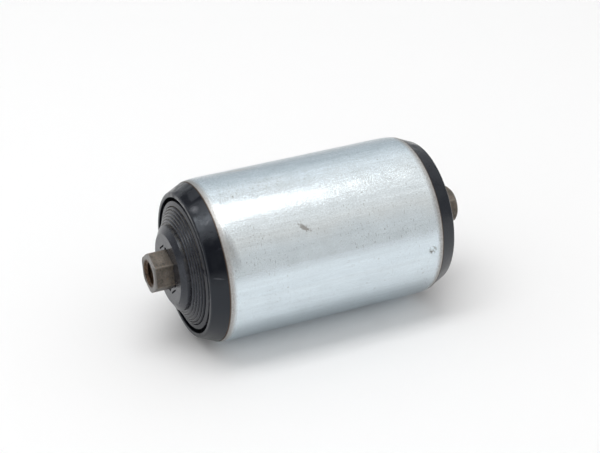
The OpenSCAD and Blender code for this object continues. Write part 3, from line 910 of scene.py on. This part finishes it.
tube = bmesh.new()
section(tube, outside + within[::-1])
tip = Vector((outside[-1][0], 0, outside[-1][1])) * MM
corner = [vert for vert in tube.verts if (vert.co - tip).length < SEAM * MM]
bmesh.ops.bevel(tube, geom=corner, offset=TUBE_EDGE * MM, offset_type="OFFSET", segments=3,
    profile=0.5, affect="VERTICES", material=-1)
print(f"section of the tube: {len(tube.verts)} points, {WALL} mm wall")

# %% [markdown]
# ### A tube that isn't quite true
#
# A drawn tube is never quite round or straight, so the outside dips by thousandths of a
# millimetre in long waves. That is too little to measure, and just enough to make the bright
# band waver. A bump could do it too, but then a model without its materials would lose it. The
# half is mirrored last, so that both halves meet in one ring at the middle.

# %% Spin, dip and mirror the tube
TUBE_STEPS = 240
DIP = 0.009
WAVES_ALONG, WAVES_ACROSS = 45, 120  # to a metre

turn_round(tube, tube.verts[:] + tube.edges[:], TUBE_STEPS)
for vert in tube.verts:
    if distance_out(vert) > tube_r - (ROLL_IN + TUBE_EDGE) * MM:
        in_waves = (vert.co.x * WAVES_ALONG, vert.co.y * WAVES_ACROSS, vert.co.z * WAVES_ACROSS)
        dip = (0.5 + 0.5 * noise.noise(Vector(in_waves))) * DIP * MM
        move_out(vert, distance_out(vert) - dip)
half = tube.verts[:] + tube.edges[:] + tube.faces[:]
bmesh.ops.mirror(tube, geom=half, axis="X", merge_dist=SEAM * MM)
make_piece("zinc_tube", tube, "roller", "zinc_plated_steel", "tube")

# %% [markdown]
# ## The shaft
#
# Hexagon bar is sold drawn, with its corners slightly round. A cylinder with six sides would do
# for the bar, but not for the round groove and the chamfer. So a six-sided circle has its
# corners bevelled and its flats cut finer, which gives it enough points to be turned down to a
# circle further on. Each point remembers how far out it was.

# %% Outline of the bar
ACROSS_FLATS, SHAFT_TURN = 11, 11
CORNER_R = ACROSS_FLATS / math.sqrt(3)
CORNER_ROUND = 0.28
FLAT_CUTS = 13

shaft = bmesh.new()
bmesh.ops.create_circle(shaft, segments=6, radius=CORNER_R * MM)
bmesh.ops.bevel(shaft, geom=shaft.verts[:], offset=CORNER_ROUND * MM, offset_type="OFFSET",
    segments=4, profile=0.5, affect="VERTICES", material=-1)
flats = [edge for edge in shaft.edges if edge.calc_length() > 1 * MM]
bmesh.ops.subdivide_edges(shaft, edges=flats, cuts=FLAT_CUTS)
upright = Matrix.Rotation(math.radians(30 - SHAFT_TURN), 3, "X") @ Matrix.Rotation(
    math.pi / 2, 3, "Y")
bmesh.ops.rotate(shaft, matrix=upright, verts=shaft.verts)
full_radius = shaft.verts.layers.float.new("full_radius")
for vert in shaft.verts:
    vert[full_radius] = distance_out(vert) / MM
print(f"bar {ACROSS_FLATS} mm across flats, {CORNER_R * 2:.2f} mm across corners")

# %% [markdown]
# ### Drawing out half of the bar
#
# The outline is drawn out along the axis ring by ring, from the middle to the right end. In the
# groove for the retaining ring every point goes to one radius. At the end a chamfer takes the
# corners off: a point loses as much length as it stands out past the chamfer, and always a
# little, so that no two rings meet. Cutting the bar with a groove and a cone would give the same
# form, but a ragged mesh.

# %% Rings of the bar
GROOVE_R, GROOVE_FROM, GROOVE_TO = 5, 22.98, 24
INNER_RINGS, OUTER_RINGS = (8, 16), (32, 40, 45, 48.5)
CHAMFER = 0.45
LEAST_CHAMFER = 0.02
END_R = CORNER_R - CHAMFER
last = shaft_end / MM


def next_ring(bm, edges, place):
    """Extrudes a ring of edges; place turns a full radius into (mm along, mm out)."""
    new = bmesh.ops.extrude_edge_only(bm, edges=edges)["geom"]
    verts = {g for g in new if isinstance(g, bmesh.types.BMVert)}
    for vert in verts:
        along, radius = place(vert[full_radius])
        vert.co.x = along * MM
        move_out(vert, radius * MM)
    return [g for g in new if isinstance(g, bmesh.types.BMEdge) and verts.issuperset(g.verts)]


ring = shaft.edges[:]
for along in (*INNER_RINGS, GROOVE_FROM):
    ring = next_ring(shaft, ring, lambda out, along=along: (along, out))
for along in (GROOVE_FROM, GROOVE_TO):
    ring = next_ring(shaft, ring, lambda out, along=along: (along, GROOVE_R))
for along in (GROOVE_TO, *OUTER_RINGS):
    ring = next_ring(shaft, ring, lambda out, along=along: (along, out))
ring = next_ring(shaft, ring,
    lambda out: (last - max(LEAST_CHAMFER, out - END_R + LEAST_CHAMFER), out))
ring = next_ring(shaft, ring, lambda out: (last, min(out - LEAST_CHAMFER, END_R)))
print(f"half of the bar: {len(shaft.faces)} faces, {len(ring)} edges round its end")

# %% [markdown]
# ### The tapped hole
#
# Each end is drilled, countersunk and tapped with a metric coarse thread. A screw modifier
# could cut the thread, but its end faces and its run-out would have to be mended by hand. Here
# the wall of the hole is spun as a plain bore with many fine rings. Then each point is moved
# out to the thread: how far along the axis it is, less how far round, says where it lies
# between root and crest. The thread runs out near the bottom, and the countersink, a cone of
# 90 degrees, wins over it at the mouth.

# %% Form of the thread
PITCH, THREAD_R, DEPTH = 1.25, 4, 15
THREAD_DEPTH = 0.5413 * PITCH  # as every metric thread has
TAP_R = THREAD_R - THREAD_DEPTH
CREST_FROM, FLANK = 3 / 8, 5 / 16
SINK_R = 4.2
DRILL_POINT = 118
RINGS_A_TURN = 12
HOLE_STEPS = 90
RUN_OUT = 2


def thread_out(along, turn):
    """Radius of the thread: flat crests at the bore, and narrow roots between two flanks."""
    share = (along / PITCH - turn / math.tau) % 1
    from_root = abs(share - 0.5)
    rise = min(1, max(0, (CREST_FROM - from_root) / FLANK))
    fade = min(1, max(0, (along - (last - DEPTH)) / RUN_OUT))
    return TAP_R + (THREAD_R - TAP_R) * rise * fade


print(f"thread M{THREAD_R * 2} x {PITCH}, {DEPTH} mm deep, tapped from {TAP_R * 2:.2f} mm")

# %% [markdown]
# ### Drilling, tapping and closing the end
#
# The bore is spun first, down to the point of the drill, and then its rings are moved out to
# the thread and the countersink. The hole and the bar have different numbers of edges round
# them. Filling the face between them by hand would take a list of faces, so it is bridged: one
# operator joins two rings of any counts.

# %% Drill, tap and close the end
NEAR = 0.01

bore_steps = int(DEPTH / PITCH * RINGS_A_TURN)
bore = [(last - DEPTH * i / bore_steps, TAP_R) for i in range(bore_steps + 1)]
cone = TAP_R / math.tan(math.radians(DRILL_POINT / 2))
drilled = section(shaft, bore + [(last - DEPTH - cone, 0)])
before = set(shaft.verts) - set(drilled)
turn_round(shaft, drilled, HOLE_STEPS)
for vert in set(shaft.verts) - before:
    along = vert.co.x / MM
    if along > last - DEPTH - NEAR:
        turn = math.atan2(vert.co.z, vert.co.y)
        move_out(vert, max(thread_out(along, turn), SINK_R - (last - along)) * MM)
at_face = shaft_end - SEAM * MM
mouth = [edge for edge in shaft.edges if edge.is_boundary and not set(edge.verts) <= before
    and min(vert.co.x for vert in edge.verts) > at_face]
bmesh.ops.bridge_loops(shaft, edges=ring + mouth)
print(f"{bore_steps} rings down the hole, {len(mouth)} edges round its mouth")

# %% [markdown]
# ### The other half, and a short right end
#
# The bar is turned end for end to make the other half. A mirror would be simpler, but it would
# make one thread left handed. The right end was cut a little short and has the wider chamfer,
# so its outline is drawn in, and everything past a ring beyond the groove moves inwards.

# %% Turn the half end for end
SHORT, SHORT_FROM = 0.5, 30
RIGHT_END_R = 5.15

towards = math.radians(30 - SHAFT_TURN)
pivot = Vector((0, math.cos(towards), math.sin(towards)))
half = shaft.verts[:] + shaft.edges[:] + shaft.faces[:]
copied = bmesh.ops.duplicate(shaft, geom=half)["geom"]
bmesh.ops.rotate(shaft, matrix=Matrix.Rotation(math.pi, 3, pivot),
    verts=[g for g in copied if isinstance(g, bmesh.types.BMVert)])
for vert in shaft.verts:
    along = vert.co.x / MM
    if along > last - 1 and distance_out(vert) > (SINK_R + 0.1) * MM:
        if along > last - NEAR:
            move_out(vert, RIGHT_END_R * MM)
        else:
            along = last - (vert[full_radius] - RIGHT_END_R)
    if along > SHORT_FROM:
        vert.co.x = (along - SHORT) * MM
make_piece("tapped_shaft", shaft, "shaft", "bare_steel", "shaft")

# %% [markdown]
# ## A thread of moulding flash
#
# A sliver of plastic hangs across the gap between the left cover and its housing, where
# the rim of the cover was trimmed. It is a short bent wire with a round section. A curve with
# a bevel would have to be made a mesh first, so a small circle is extruded along the bend
# instead, one step for each of its points, and closed at its root.

# %% Flash
FLASH_R = 0.22
BEND = [on_roller(-40.1, 25, 19.1), on_roller(-40.6, 23.6, 19.7), on_roller(-40.7, 22.4, 20.3),
    on_roller(-40.55, 21.5, 20.9), on_roller(-40.3, 21.1, 21.3)]

flash = bmesh.new()
way = BEND[1] - BEND[0]
bmesh.ops.create_circle(flash, cap_ends=True, segments=10, radius=FLASH_R * MM)
bmesh.ops.rotate(flash, matrix=way.to_track_quat("Z", "Y").to_matrix(), verts=flash.verts)
bmesh.ops.translate(flash, vec=BEND[0], verts=flash.verts)
for start, stop in zip(BEND, BEND[1:]):
    tip = max(flash.faces, key=lambda face: (len(face.verts), face.index))
    new = bmesh.ops.extrude_discrete_faces(flash, faces=[tip])["faces"]
    bmesh.ops.translate(flash, vec=stop - start, verts=new[0].verts)
root = [edge for edge in flash.edges if edge.is_boundary]
bmesh.ops.holes_fill(flash, edges=root, sides=0)
make_piece("cover_flash", flash, "shaft", "grey_polypropylene", None, sharp=50)
